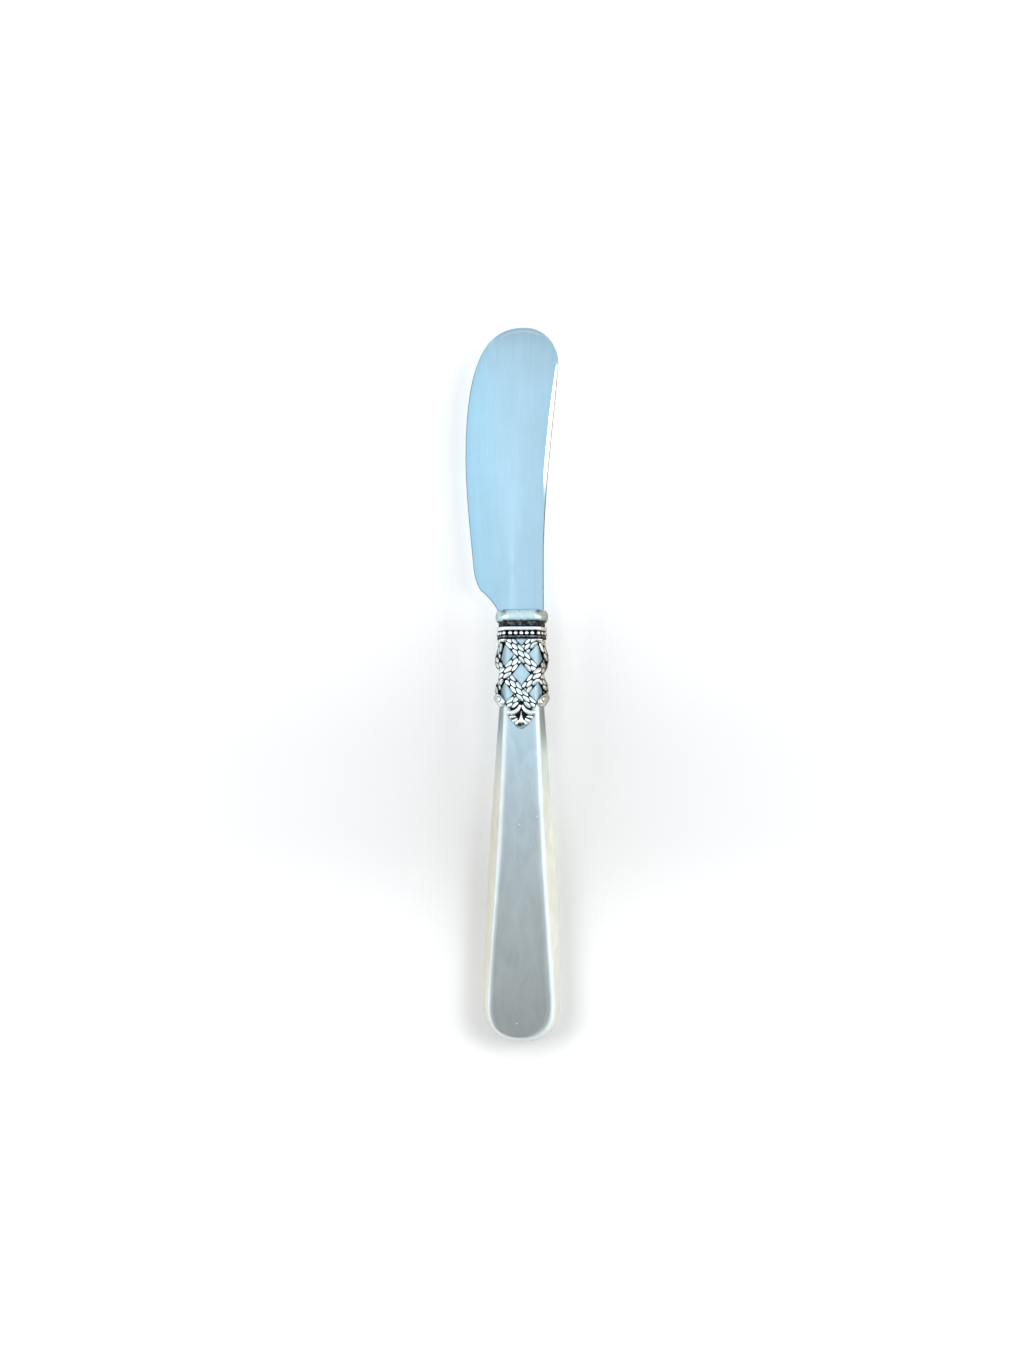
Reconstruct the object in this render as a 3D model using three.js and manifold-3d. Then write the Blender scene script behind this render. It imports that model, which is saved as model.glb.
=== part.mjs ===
// A pate knife: a stainless spreader blade whose tang is cemented into a pearl acrylic handle,
// with an openwork ferrule of crossed ropes and a smooth bolster cap at the joint.
// Millimetres. +X is the spine side, +Y runs from the butt to the tip of the blade, +Z is up.
// The knife lies on its back, and the origin is the middle of the flat at the butt that it rests on.
import * as THREE from "three";
import { mergeGeometries, mergeVertices } from "three/addons/utils/BufferGeometryUtils.js";
import Module from "manifold-3d";

const wasm = await Module();
wasm.setup();

// Driving dimensions of the handle
const handleLength = 92.35; // butt end to the end of the neck
const buttWidth = 17.2;
const buttDepth = 9.4; // thickness at the butt
const buttRound = 9; // length of the rounded end, seen from above
const buttFullness = 2.4; // 2 is an ellipse, more is squarer
const restLength = 16; // length of the flat at the butt, past the rounded end
const neckWidth = 10.2;
const neckDepth = 7.4;
const flareEase = 1.45; // 1 is a straight taper from neck to butt
const neckInset = 1.45; // from the widest line to the rim of the flat face, at the neck and beside the butt
const middleInset = 2.2; // the same where it is most, about halfway down the sides
const buttInset = 0.5; // the same at the end of the butt
const rimRound = 1.0; // how far the rounding of that rim reaches
const sideRound = 1.7; // how far the rounding of the widest line reaches

// Driving dimensions of the ferrule
const fit = 0.2; // glue line between pieces
const tenonStep = 0.5; // how much smaller the neck is inside the collar
const collarHeight = 2.8;
const ringHeight = 1.0; // plain ring along the top of the collar
const ringProud = 0.6; // above the neck's surface, as is every other size named proud
const ringSoften = 0.2; // softening of the collar's edges
const channelProud = 0.3; // floor of the bead channel
const lipHeight = 0.45; // lip under the beads
const lipProud = 0.5;
const beadCount = 24;
const beadRadius = 0.52;
const beadProud = 0.6;
const ropeWidth = 2.5;
const ropeProud = 1.0; // top of a rope where it passes over
const weaveDip = 0.42; // how much lower a rope lies where it passes under
const sidePull = 0.3; // how much closer together the crossings lie at the two sides, as a share
const ropeColumns = 8; // columns of crossings round the neck
const rowPitch = 4.5; // from one row of crossings to the next
const firstRow = 6.1; // from the end of the neck to the first row on the front
const latticeLength = 14.9; // from the collar to the lower ends of the ropes
const palmetteLength = 6; // root of the petals to the tip
const palmetteWidth = 6.8;
const palmetteProud = 0.95;
const palmetteTop = 1.2; // from the lower ends of the ropes up to the root of the petals
const plateProud = 0.5; // ground that the petals stand on
const leafLength = 3.1; // rolled leaves at the two sides
const leafWidth = 3.8;
const leafOffset = 2.4; // from the widest line of the neck to the middle of a leaf, round its surface

// Driving dimensions of the bolster cap
const capHeight = 3.75;
const waistHeight = 0.95; // groove between the collar and the roll
const waistProud = 0.15;
const rollProud = 0.85;
const rollFullness = 0.45; // 1 is a round roll, less is squarer
const capTopProud = 0.15;

// Driving dimensions of the blade and its tang
const bladeLength = 63.7; // shoulder to tip
const stockThickness = 1.6;
const edgeThickness = 0.5;
const grindOffset = 3.5; // from the axis to where the grind towards the edge starts
const spineOffset = 4.9; // from the axis to the spine at the shoulder
const spineStraight = 11.2; // straight stretch of the spine above the shoulder
const tipSweep = 3.3; // how far the spine leans out at the tip
const tipCorner = 8.8; // below the tip, where the spine turns into the tip
const bellyOffset = 12.62; // from the axis to the widest point of the edge
const bellyHeight = 34.2; // of that point above the shoulder
const heelOffset = 10.78;
const heelHeight = 9.0;
const notchOffset = 9.1; // corner between the heel and the scoop
const notchHeight = 4.25;
const scoopOffset = 5.4; // foot of the scoop, at the shoulder
const spineBevel = 1.0; // width of the bevel along the spine and tip
const bevelDepth = 0.3;
const tangLength = 46;
const tangWidth = 5;
const tangTipWidth = 3;
const tangRelief = 0.1; // the tang is this much thinner than the stock on each face
const cementWall = 0.8; // cement round the tang

// Resolution
const flareSteps = 10;
const buttSteps = 16;
const roundSteps = 4;
const aroundSteps = 48;
const ropeSteps = 24;
const ropeSides = 10;

// Derived places along the knife, measured from the butt end
const neckStart = handleLength - collarHeight - latticeLength;
const collarFoot = handleLength - collarHeight;
const capFoot = handleLength + fit;
const shoulder = capFoot + capHeight + fit;
const tangEnd = shoulder - tangLength;
const boreEnd = tangEnd - 2 * fit - cementWall;
const tangThickness = stockThickness - 2 * tangRelief;
const boreWall = 2 * fit + cementWall; // from the tang out to the bore
const restCentre = buttRound + restLength / 2;

// Solids and geometry

function solidOf(geometry) {
  const bare = geometry.clone();
  bare.deleteAttribute("normal");
  bare.deleteAttribute("uv");
  const merged = mergeVertices(bare, 1e-4);
  const vertProperties = merged.attributes.position.array;
  const triVerts = new Uint32Array(merged.index.array);
  return new wasm.Manifold(new wasm.Mesh({ numProp: 3, vertProperties, triVerts }));
}

function geometryOf(solid) {
  const { vertProperties, triVerts } = solid.getMesh();
  const geometry = new THREE.BufferGeometry();
  geometry.setAttribute("position", new THREE.BufferAttribute(vertProperties, 3));
  geometry.setIndex(new THREE.BufferAttribute(triVerts, 1));
  geometry.computeVertexNormals();
  return geometry;
}

function geometryFrom(points, triangles) {
  const geometry = new THREE.BufferGeometry();
  geometry.setFromPoints(points);
  geometry.setIndex(triangles);
  return geometry;
}

// Rings of equal count joined one to the next. The ends are closed by a fan each,
// or joined to each other where the rings go round a loop.
function loft(rings, looped = false) {
  const count = rings[0].length;
  const triangles = [];
  const last = looped ? rings.length : rings.length - 1;
  for (let i = 0; i < last; i++) {
    const here = i * count;
    const next = ((i + 1) % rings.length) * count;
    for (let j = 0; j < count; j++) {
      const k = (j + 1) % count;
      triangles.push(here + j, here + k, next + k, here + j, next + k, next + j);
    }
  }
  const top = (rings.length - 1) * count;
  for (let j = 1; !looped && j < count - 1; j++) {
    triangles.push(0, j + 1, j, top, top + j, top + j + 1);
  }
  return geometryFrom(rings.flat(), triangles);
}

// A shape drawn in X and Z, extruded along +Y from one place to another.
function prism(shape, from, to) {
  const depth = to - from;
  const geometry = new THREE.ExtrudeGeometry(shape, { depth, bevelEnabled: false, curveSegments: 6 });
  geometry.rotateX(Math.PI / 2);
  return geometry.translate(0, to, 0);
}

function unionOf(solids) {
  return solids.reduce((joined, next) => joined.add(next));
}

// Section of the handle

// Half of the section at one place, from the rim of the front face round the widest line to the back face.
// x is the distance in from the widest line, and y the height above the middle plane.
function rimProfile(halfDepth, inset) {
  const wall = Math.hypot(inset, halfDepth);
  const rim = Math.min(rimRound, wall / 2);
  const turn = Math.min(sideRound, wall / 2);
  const front = new THREE.Vector2(inset, halfDepth);
  const side = new THREE.Vector2((-turn * inset) / wall / 2, 0); // so that the rounded line is widest at 0
  const slope = new THREE.Vector2().subVectors(side, front).normalize();
  const upper = [new THREE.Vector2(inset + rim, halfDepth), front, front.clone().addScaledVector(slope, rim)];
  const lower = upper.map((p) => new THREE.Vector2(p.x, -p.y)).reverse();
  const above = side.clone().addScaledVector(slope, -turn);
  const rounds = [upper, [above, side, new THREE.Vector2(above.x, -above.y)], lower];
  return rounds.flatMap((points) => new THREE.QuadraticBezierCurve(...points).getPoints(roundSteps));
}

// Section of the neck as a closed path in X and Z, clockwise from the middle of the front face.
function neckSection() {
  const half = neckWidth / 2;
  const right = rimProfile(neckDepth / 2, neckInset).map((p) => new THREE.Vector2(half - p.x, p.y));
  const left = right.map((p) => new THREE.Vector2(-p.x, p.y)).reverse();
  const start = new THREE.Vector2(0, neckDepth / 2);
  return new THREE.Path([start, ...right, ...left, start]);
}

const section = neckSection();

// A point a share of the way round the neck, standing proud of its surface by a distance.
function onNeck(share, proud, y) {
  const turn = ((share % 1) + 1) % 1;
  const place = section.getPoint(turn);
  const along = section.getTangent(turn);
  return new THREE.Vector3(place.x - along.y * proud, y, place.y + along.x * proud);
}

function neckRing(proud, y) {
  return Array.from({ length: aroundSteps }, (_, i) => onNeck((i + 0.5) / aroundSteps, proud, y));
}

// Handle

function flare(y, from, wide, narrow) {
  const share = THREE.MathUtils.clamp((y - from) / (neckStart - from), 0, 1);
  return wide - (wide - narrow) * share ** flareEase;
}

function insetAt(y) {
  const share = THREE.MathUtils.clamp((neckStart - y) / (neckStart - buttRound), 0, 1);
  const toButt = THREE.MathUtils.clamp((buttRound - y) / buttRound, 0, 1);
  const beside = neckInset + (middleInset - neckInset) * Math.sin(Math.PI * share);
  return THREE.MathUtils.lerp(beside, buttInset, toButt ** 1.5);
}

function halfDepthAt(y) {
  return flare(y, buttRound + restLength, buttDepth, neckDepth) / 2;
}

// Outline of the handle seen from above, from the neck's end on the right round the butt to the left.
function handleOutline() {
  const right = [new THREE.Vector2(neckWidth / 2, handleLength)];
  for (let i = 0; i < flareSteps; i++) {
    const y = THREE.MathUtils.lerp(neckStart, buttRound, i / flareSteps);
    right.push(new THREE.Vector2(flare(y, buttRound, buttWidth, neckWidth) / 2, y));
  }
  for (let i = 0; i < buttSteps / 2; i++) {
    const angle = (Math.PI * i) / buttSteps;
    const x = (buttWidth / 2) * Math.cos(angle) ** (2 / buttFullness);
    right.push(new THREE.Vector2(x, buttRound * (1 - Math.sin(angle) ** (2 / buttFullness))));
  }
  const left = right.map((p) => new THREE.Vector2(-p.x, p.y)).reverse();
  return [...right, new THREE.Vector2(0, 0), ...left];
}

// The outer body of the handle, grown on every side by a distance.
function handleBody(grow) {
  const outline = handleOutline();
  const columns = outline.map((place, i) => {
    const before = outline[Math.max(i - 1, 0)];
    const after = outline[Math.min(i + 1, outline.length - 1)];
    const atNeck = place.y >= neckStart;
    const along = new THREE.Vector2().subVectors(after, before).normalize();
    const inward = atNeck ? new THREE.Vector2(-Math.sign(place.x), 0) : new THREE.Vector2(along.y, -along.x);
    return rimProfile(halfDepthAt(place.y) + grow, insetAt(place.y)).map((p) => {
      const x = place.x + inward.x * (p.x - grow);
      const y = place.y + inward.y * (p.x - grow);
      return new THREE.Vector3(x, y + (y >= handleLength ? grow : 0), p.y);
    });
  });
  const count = columns[0].length;
  const last = columns.length - 1;
  const triangles = [];
  for (let i = 0; i < last; i++) {
    for (let j = 0; j < count - 1; j++) {
      const here = i * count + j;
      const next = here + count;
      triangles.push(here, next, next + 1, here, next + 1, here + 1);
    }
  }
  for (let i = 0; i < last / 2; i++) {
    const right = i * count;
    const left = (last - i) * count;
    triangles.push(right, left, left - count, right, left - count, right + count);
    const under = count - 1;
    triangles.push(right + under, left - count + under, left + under);
    triangles.push(right + under, right + count + under, left - count + under);
  }
  const end = [...columns[0].keys(), ...[...columns[last].keys()].reverse().map((j) => last * count + j)];
  for (let j = 1; j < end.length - 1; j++) {
    triangles.push(end[0], end[j], end[j + 1]);
  }
  return solidOf(mergeVertices(geometryFrom(columns.flat(), triangles)));
}

// A slot with round ends, wide along X and deep along Z.
function slotShape(width, depth) {
  const shape = new THREE.Shape();
  const middle = (width - depth) / 2;
  shape.absarc(middle, 0, depth / 2, -Math.PI / 2, Math.PI / 2);
  shape.absarc(-middle, 0, depth / 2, Math.PI / 2, (3 * Math.PI) / 2);
  return shape;
}

// The hole for the tang and its cement, shrunk on every side by a distance.
function boreBody(shrink, top) {
  const wall = 2 * (boreWall - shrink);
  return solidOf(prism(slotShape(tangWidth + wall, tangThickness + wall), boreEnd + shrink, top));
}

function tenonCut() {
  const beyond = handleLength + tenonStep;
  const block = solidOf(loft([neckRing(tenonStep, collarFoot), neckRing(tenonStep, beyond)]));
  const below = collarFoot - tenonStep;
  const tenon = solidOf(loft([neckRing(-tenonStep, below), neckRing(-tenonStep, beyond + tenonStep)]));
  return block.subtract(tenon);
}

function handleSolid() {
  return handleBody(0).subtract(tenonCut()).subtract(boreBody(0, handleLength + fit));
}

// Blade

function bladeOutline() {
  const shape = new THREE.Shape();
  const tipX = spineOffset + tipSweep;
  const corner = bladeLength - tipCorner;
  const rise = corner - spineStraight;
  const belly = bellyHeight - heelHeight;
  const swell = bellyOffset - heelOffset;
  const crown = bladeLength - bellyHeight;
  const below = -2 * spineBevel; // past the shoulder, where it is cut square
  shape.moveTo(spineOffset, below);
  shape.lineTo(spineOffset, spineStraight);
  shape.bezierCurveTo(spineOffset, spineStraight + rise * 0.34, tipX - tipSweep * 0.18, corner - rise * 0.2,
    tipX, corner);
  shape.bezierCurveTo(tipX + tipSweep * 0.08, corner + tipCorner * 0.42, tipX * 0.73, bladeLength,
    tipX * 0.07, bladeLength);
  shape.bezierCurveTo(-bellyOffset * 0.55, bladeLength, -bellyOffset, bellyHeight + crown * 0.82,
    -bellyOffset, bellyHeight);
  shape.bezierCurveTo(-bellyOffset, bellyHeight - belly * 0.32, -heelOffset - swell * 0.36,
    heelHeight + belly * 0.29, -heelOffset, heelHeight);
  shape.quadraticCurveTo(-heelOffset + (heelOffset - notchOffset) * 0.3,
    notchHeight + (heelHeight - notchHeight) * 0.3, -notchOffset, notchHeight);
  shape.quadraticCurveTo(-scoopOffset - (notchOffset - scoopOffset) * 0.4, notchHeight * 0.6,
    -scoopOffset, 0);
  shape.lineTo(-scoopOffset, below);
  return shape;
}

// Full stock from the spine to the grind line, then tapering to the edge.
function bladeStock() {
  const spine = spineOffset + tipSweep + spineBevel;
  const edge = -bellyOffset - fit;
  const half = stockThickness / 2;
  const shape = new THREE.Shape([
    new THREE.Vector2(spine, -half),
    new THREE.Vector2(spine, half),
    new THREE.Vector2(-grindOffset, half),
    new THREE.Vector2(edge, edgeThickness / 2),
    new THREE.Vector2(edge, -edgeThickness / 2),
    new THREE.Vector2(-grindOffset, -half),
  ]);
  return solidOf(prism(shape, 0, bladeLength + spineBevel));
}

// The tang below the shoulder, grown on every side by a distance.
function tangBody(grow) {
  const top = tangWidth / 2 + grow;
  const tip = tangTipWidth / 2 + grow;
  const above = spineBevel;
  const shape = new THREE.Shape();
  shape.moveTo(-top, above);
  shape.lineTo(-tip, tip - tangLength - grow);
  shape.absarc(0, tip - tangLength - grow, tip, Math.PI, 2 * Math.PI);
  shape.lineTo(top, above);
  const depth = tangThickness + 2 * grow;
  const geometry = new THREE.ExtrudeGeometry(shape, { depth, bevelEnabled: false, curveSegments: 8 });
  return solidOf(geometry.translate(0, 0, -depth / 2));
}

function bladeSolid() {
  const flat = stockThickness - 2 * bevelDepth;
  const outline = new THREE.ExtrudeGeometry(bladeOutline(), {
    depth: flat,
    bevelThickness: bevelDepth,
    bevelSize: spineBevel,
    bevelOffset: -spineBevel,
    bevelSegments: 1,
    curveSegments: 10,
  });
  return solidOf(outline.translate(0, 0, -flat / 2)).intersect(bladeStock()).add(tangBody(0));
}

// Cement round the tang

function cementSolid() {
  return boreBody(fit, handleLength).subtract(tangBody(fit).translate([0, shoulder, 0]));
}

// Bolster cap

function capSolid() {
  const roll = [];
  const steps = 8;
  const rollFoot = waistHeight;
  for (let i = 0; i <= steps; i++) {
    const share = i / steps;
    const base = THREE.MathUtils.lerp(waistProud, capTopProud, share);
    const swell = (rollProud - base) * Math.sin(Math.PI * share) ** rollFullness;
    roll.push(neckRing(base + swell, capFoot + THREE.MathUtils.lerp(rollFoot, capHeight, share)));
  }
  const rings = [neckRing(waistProud, capFoot), ...roll];
  const slot = tangBody(fit).translate([0, shoulder, 0]);
  return solidOf(loft(rings)).subtract(slot);
}

// Ferrule

// Plain ring, bead channel and lip, swept round the neck.
function collarSolid() {
  const inner = fit - tenonStep;
  const foot = collarFoot + fit;
  const lipTop = foot + lipHeight;
  const ringFoot = handleLength - ringHeight;
  const edge = ringProud - ringSoften;
  const profile = [
    [inner, foot], [lipProud, foot], [lipProud, lipTop], [channelProud, lipTop + ringSoften],
    [channelProud, ringFoot - ringSoften], [edge, ringFoot], [ringProud, ringFoot + ringSoften],
    [ringProud, handleLength - ringSoften], [edge, handleLength], [inner, handleLength],
  ];
  return solidOf(loft(profile.map(([proud, y]) => neckRing(proud, y)), true));
}

function beadSolids() {
  const y = (collarFoot + fit + lipHeight + handleLength - ringHeight) / 2;
  return Array.from({ length: beadCount }, (_, i) => {
    const place = onNeck(i / beadCount, beadProud - beadRadius, y);
    return solidOf(new THREE.SphereGeometry(beadRadius, 6, 4).translate(place.x, place.y, place.z));
  });
}

// One rope, from under the collar to its rounded lower end, leaning right going down where hand is 1,
// left where -1. Its crossings are drawn together at the two sides, towards the middle row.
// A rope that comes down at a side ends under the leaf there.
function ropeSolid(column, hand) {
  const radius = ropeWidth / 2;
  const front = handleLength - firstRow;
  const middle = front - rowPitch;
  const shareAt = (y) => (column + (hand * (front - y)) / rowPitch) / ropeColumns;
  const atSide = Math.abs(Math.sin(2 * Math.PI * shareAt(neckStart))) > Math.SQRT1_2;
  const low = atSide ? neckStart + leafLength / 2 : neckStart;
  const points = [];
  for (let i = 0; i <= ropeSteps; i++) {
    const y = THREE.MathUtils.lerp(collarFoot + collarHeight / 2, low, i / ropeSteps);
    const rows = (front - y) / rowPitch;
    const share = shareAt(y);
    const dip = (weaveDip * (1 - hand * Math.cos(Math.PI * rows))) / 2;
    const fade = Math.max(0, 1 - ((y - middle) / (2 * rowPitch)) ** 2);
    const pull = sidePull * fade * Math.sin(2 * Math.PI * share) ** 2;
    points.push(onNeck(share, ropeProud - dip - radius, y - (y - middle) * pull));
  }
  const round = new THREE.Shape(new THREE.Path().absarc(0, 0, radius, 0, 2 * Math.PI).getPoints(ropeSides));
  const path = new THREE.CatmullRomCurve3(points);
  const end = new THREE.SphereGeometry(radius, ropeSides, ropeSides / 2);
  const body = solidOf(new THREE.ExtrudeGeometry(round, { steps: ropeSteps, extrudePath: path }));
  return body.add(solidOf(end).translate(points[ropeSteps].toArray()));
}

function ropeSolids() {
  const ropes = [];
  for (let column = 0; column < ropeColumns; column += 2) {
    ropes.push(ropeSolid(column, 1), ropeSolid(column, -1));
  }
  return ropes;
}

// Petals of one half, turned from straight down. Their ends are shares of the palmette's length
// from its root, and their widths are shares of its width.
const petals = [
  { turn: 0, from: 0.17, to: 0.96, width: 0.19 },
  { turn: 20, from: 0.48, to: 0.9, width: 0.14 },
  { turn: 35, from: 0.42, to: 0.83, width: 0.155 },
  { turn: 56, from: 0.08, to: 0.76, width: 0.235 },
];

// A petal on the front face, as an ellipsoid.
function petal({ turn, from, to, width }, root) {
  const half = ((to - from) * palmetteLength) / 2;
  const geometry = new THREE.SphereGeometry(1, 8, 6).scale((width * palmetteWidth) / 2, half, palmetteProud);
  geometry.translate(0, -from * palmetteLength - half, 0).rotateZ(THREE.MathUtils.degToRad(turn));
  return solidOf(geometry.translate(0, root, neckDepth / 2));
}

// Ground plate under the petals, a shield that follows their tips.
function plateSolid(root) {
  const half = palmetteWidth / 2;
  const edge = root - palmetteLength * 0.3;
  const swell = root - palmetteLength * 0.83;
  const shape = new THREE.Shape();
  shape.moveTo(-half, edge);
  shape.quadraticCurveTo(-half * 0.8, swell, 0, root - palmetteLength);
  shape.quadraticCurveTo(half * 0.8, swell, half, edge);
  shape.lineTo(0, root);
  const depth = neckDepth / 2 + plateProud;
  return solidOf(new THREE.ExtrudeGeometry(shape, { depth, bevelEnabled: false, curveSegments: 6 }));
}

function palmetteSolid() {
  const root = neckStart + palmetteTop;
  const mirrored = petals.filter((p) => p.turn).map((p) => ({ ...p, turn: -p.turn }));
  return unionOf([plateSolid(root), ...[...petals, ...mirrored].map((p) => petal(p, root))]);
}

// Rolled leaves at the sides of the neck, one before and one behind the lowest crossing.
function leafSolids() {
  const offset = leafOffset / section.getLength();
  const y = neckStart + leafLength / 2;
  return [0.25 - offset, 0.25 + offset, 0.75 - offset, 0.75 + offset].map((share) => {
    const place = onNeck(share, 0, y);
    const out = onNeck(share, 1, y).sub(place);
    const geometry = new THREE.SphereGeometry(1, 10, 8).scale(ropeProud, leafLength / 2, leafWidth / 2);
    geometry.rotateY(Math.atan2(-out.z, out.x)).translate(place.x, place.y, place.z);
    return solidOf(geometry);
  });
}

function ferruleSolid() {
  const palmettes = [0, 180].map((turn) => palmetteSolid().rotate([0, turn, 0]));
  const underLip = collarFoot + fit + lipHeight / 2; // where the ropes run into the lip
  const relief = unionOf([...ropeSolids(), ...leafSolids(), ...palmettes]);
  const openwork = relief.trimByPlane([0, -1, 0], -underLip).subtract(handleBody(fit));
  return unionOf([collarSolid(), ...beadSolids(), openwork]);
}

// Materials

const steel = new THREE.MeshStandardMaterial({ color: 0xb3d9ee, roughness: 0.3, metalness: 1 });
const silver = new THREE.MeshStandardMaterial({ color: 0xdfe6e6, roughness: 0.28, metalness: 1 });
const antiqueSilver = new THREE.MeshStandardMaterial({ color: 0xc9cfce, roughness: 0.35, metalness: 1 });
const pearl = new THREE.MeshStandardMaterial({ color: 0xb4c4ca, roughness: 0.18, metalness: 0 });
const resin = new THREE.MeshStandardMaterial({ color: 0xd8d2c0, roughness: 0.6, metalness: 0 });

// Assembly

function piece(name, solid, material, y = 0) {
  const mesh = new THREE.Mesh(geometryOf(solid), material);
  mesh.name = name;
  mesh.position.y = y;
  return mesh;
}

const lying = new THREE.Group();
lying.position.set(0, -restCentre, buttDepth / 2);
lying.add(
  piece("handle", handleSolid(), pearl),
  piece("tang_cement", cementSolid(), resin),
  piece("blade", bladeSolid(), steel, shoulder),
  piece("bolster_cap", capSolid(), silver),
  piece("ferrule", ferruleSolid(), antiqueSilver),
);

const knife = new THREE.Group();
knife.name = "pate_knife";
knife.add(lying);

export default knife;
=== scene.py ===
# Pate knife: brushed steel blade, satin bolster cap, antiqued rope ferrule and pearl acrylic handle.
# Pieces are drawn in millimetres, y from the butt end and z from the middle plane, then moved into the frame.
import bisect
import math
from functools import partial

import bmesh
import bpy
from mathutils import Matrix, Vector
from mathutils.geometry import delaunay_2d_cdt, interpolate_bezier


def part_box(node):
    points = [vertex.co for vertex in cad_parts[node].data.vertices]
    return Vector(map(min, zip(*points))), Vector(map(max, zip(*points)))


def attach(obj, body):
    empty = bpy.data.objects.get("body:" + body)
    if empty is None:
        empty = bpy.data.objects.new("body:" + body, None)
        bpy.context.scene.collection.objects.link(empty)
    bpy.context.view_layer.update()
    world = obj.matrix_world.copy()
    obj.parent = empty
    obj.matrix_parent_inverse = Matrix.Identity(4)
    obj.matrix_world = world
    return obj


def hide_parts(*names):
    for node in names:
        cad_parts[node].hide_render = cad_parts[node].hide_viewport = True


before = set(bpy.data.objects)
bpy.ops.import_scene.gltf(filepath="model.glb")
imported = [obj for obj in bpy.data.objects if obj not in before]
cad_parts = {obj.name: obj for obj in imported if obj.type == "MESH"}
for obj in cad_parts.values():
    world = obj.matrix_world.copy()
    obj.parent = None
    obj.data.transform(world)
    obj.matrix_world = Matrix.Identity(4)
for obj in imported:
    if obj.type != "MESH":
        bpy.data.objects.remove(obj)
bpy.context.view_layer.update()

handleLength = 92.35  # butt end to the end of the neck
handleLow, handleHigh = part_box("handle")
buttY = handleHigh.y * 1000 - handleLength
midZ = (handleLow.z + handleHigh.z) * 500


# Small helpers

def hexColour(code):
    parts = [int(code[i:i + 2], 16) / 255 for i in (1, 3, 5)]
    linear = [p / 12.92 if p <= 0.04045 else ((p + 0.055) / 1.055) ** 2.4 for p in parts]
    return (*linear, 1.0)


def smooth(low, high, value):
    t = min(max((value - low) / (high - low), 0.0), 1.0)
    return t * t * (3 - 2 * t)


def mix(a, b, t):
    return a + (b - a) * t


def bezier(values, t):
    weights = ((1 - t) ** 3, 3 * t * (1 - t) ** 2, 3 * t * t * (1 - t), t ** 3)
    return sum(w * v for w, v in zip(weights, values))


# direction of a line at its point i
def directionAt(line, i, looped=False):
    if looped:
        before, after = line[i - 1], line[(i + 1) % len(line)]
    else:
        before, after = line[max(i - 1, 0)], line[min(i + 1, len(line) - 1)]
    return Vector((after[0] - before[0], after[1] - before[1])).normalized()


def inFrame(point):
    x, y, z = point
    return (x / 1000, (y + buttY) / 1000, (z + midZ) / 1000)


# what is collected for one piece; bright says how far each point is polished, with painted highlight and shade mixed
# in, or how white the pearl's painted shoulder highlight is there
def newShells():
    return {"points": [], "faces": [], "bright": []}


# adds points to a piece and gives their numbers
def addPoints(shells, points, bright):
    start = len(shells["points"])
    shells["points"] += points
    shells["bright"] += bright
    return list(range(start, start + len(points)))


# a band of faces between two loops of point numbers
def addBand(shells, loop, other):
    for i in range(len(loop)):
        k = (i + 1) % len(loop)
        shells["faces"].append((loop[i], loop[k], other[k], other[i]))


# joins rings of (point, brightness) into a closed shell
def addShell(shells, rings, looped=False):
    loops = [addPoints(shells, [point for point, _ in ring], [value for _, value in ring]) for ring in rings]
    for loop, other in zip(loops, loops[1:] + loops[:1] if looped else loops[1:]):
        addBand(shells, loop, other)
    if not looped:
        shells["faces"] += [tuple(reversed(loops[0])), tuple(loops[-1])]


def makePiece(name, shells, material, node, sharpAngle):
    mesh = bpy.data.meshes.new(name)
    mesh.from_pydata([inFrame(p) for p in shells["points"]], [], shells["faces"])
    attribute = mesh.attributes.new("bright", "FLOAT", "POINT")
    attribute.data.foreach_set("value", shells["bright"])
    work = bmesh.new()
    work.from_mesh(mesh)
    bmesh.ops.recalc_face_normals(work, faces=work.faces)
    work.to_mesh(mesh)
    work.free()
    mesh.polygons.foreach_set("use_smooth", [True] * len(mesh.polygons))
    mesh.set_sharp_from_angle(angle=math.radians(sharpAngle))
    mesh.materials.append(material)
    piece = bpy.data.objects.new(name, mesh)
    bpy.context.scene.collection.objects.link(piece)
    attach(piece, "root")
    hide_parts(node)
    print(f"{name}: {len(mesh.vertices)} points, {len(mesh.polygons)} faces")


# settings that several nodes share
blend = {"data_type": "RGBA"}
multiply = {"data_type": "RGBA", "blend_type": "MULTIPLY"}
eased = {"interpolation_type": "SMOOTHSTEP"}


# adds a node; inputs are given by name, or in the order of the live sockets, and are values or what to link from:
# a socket, or a node for its first live output; stops colour a ramp
def addNode(tree, kind, inputs=(), stops=(), **settings):
    node = tree.nodes.new("ShaderNode" + kind)
    for key, value in settings.items():
        setattr(node, key, value)
    if isinstance(inputs, dict):
        pairs = [(node.inputs[name], value) for name, value in inputs.items()]
    else:
        pairs = zip([socket for socket in node.inputs if socket.enabled], inputs)
    for socket, value in pairs:
        if isinstance(value, bpy.types.Node):
            value = next(output for output in value.outputs if output.enabled)
        if isinstance(value, bpy.types.NodeSocket):
            tree.links.new(value, socket)
        else:
            socket.default_value = value
    if stops:
        elements = node.color_ramp.elements
        while len(elements) > 1:
            elements.remove(elements[-1])
        elements[0].position, elements[0].color = stops[0][0], hexColour(stops[0][1])
        for place, code in stops[1:]:
            elements.new(place).color = hexColour(code)
    return node


# a new material, and addNode bound to its tree
def newMaterial(name):
    material = bpy.data.materials.new(name)
    material.use_nodes = True
    material.node_tree.nodes.clear()
    return material, partial(addNode, material.node_tree)


# a place along the knife, as the material sees it
def alongAt(y):
    return (y + buttY) / 1000
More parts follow.
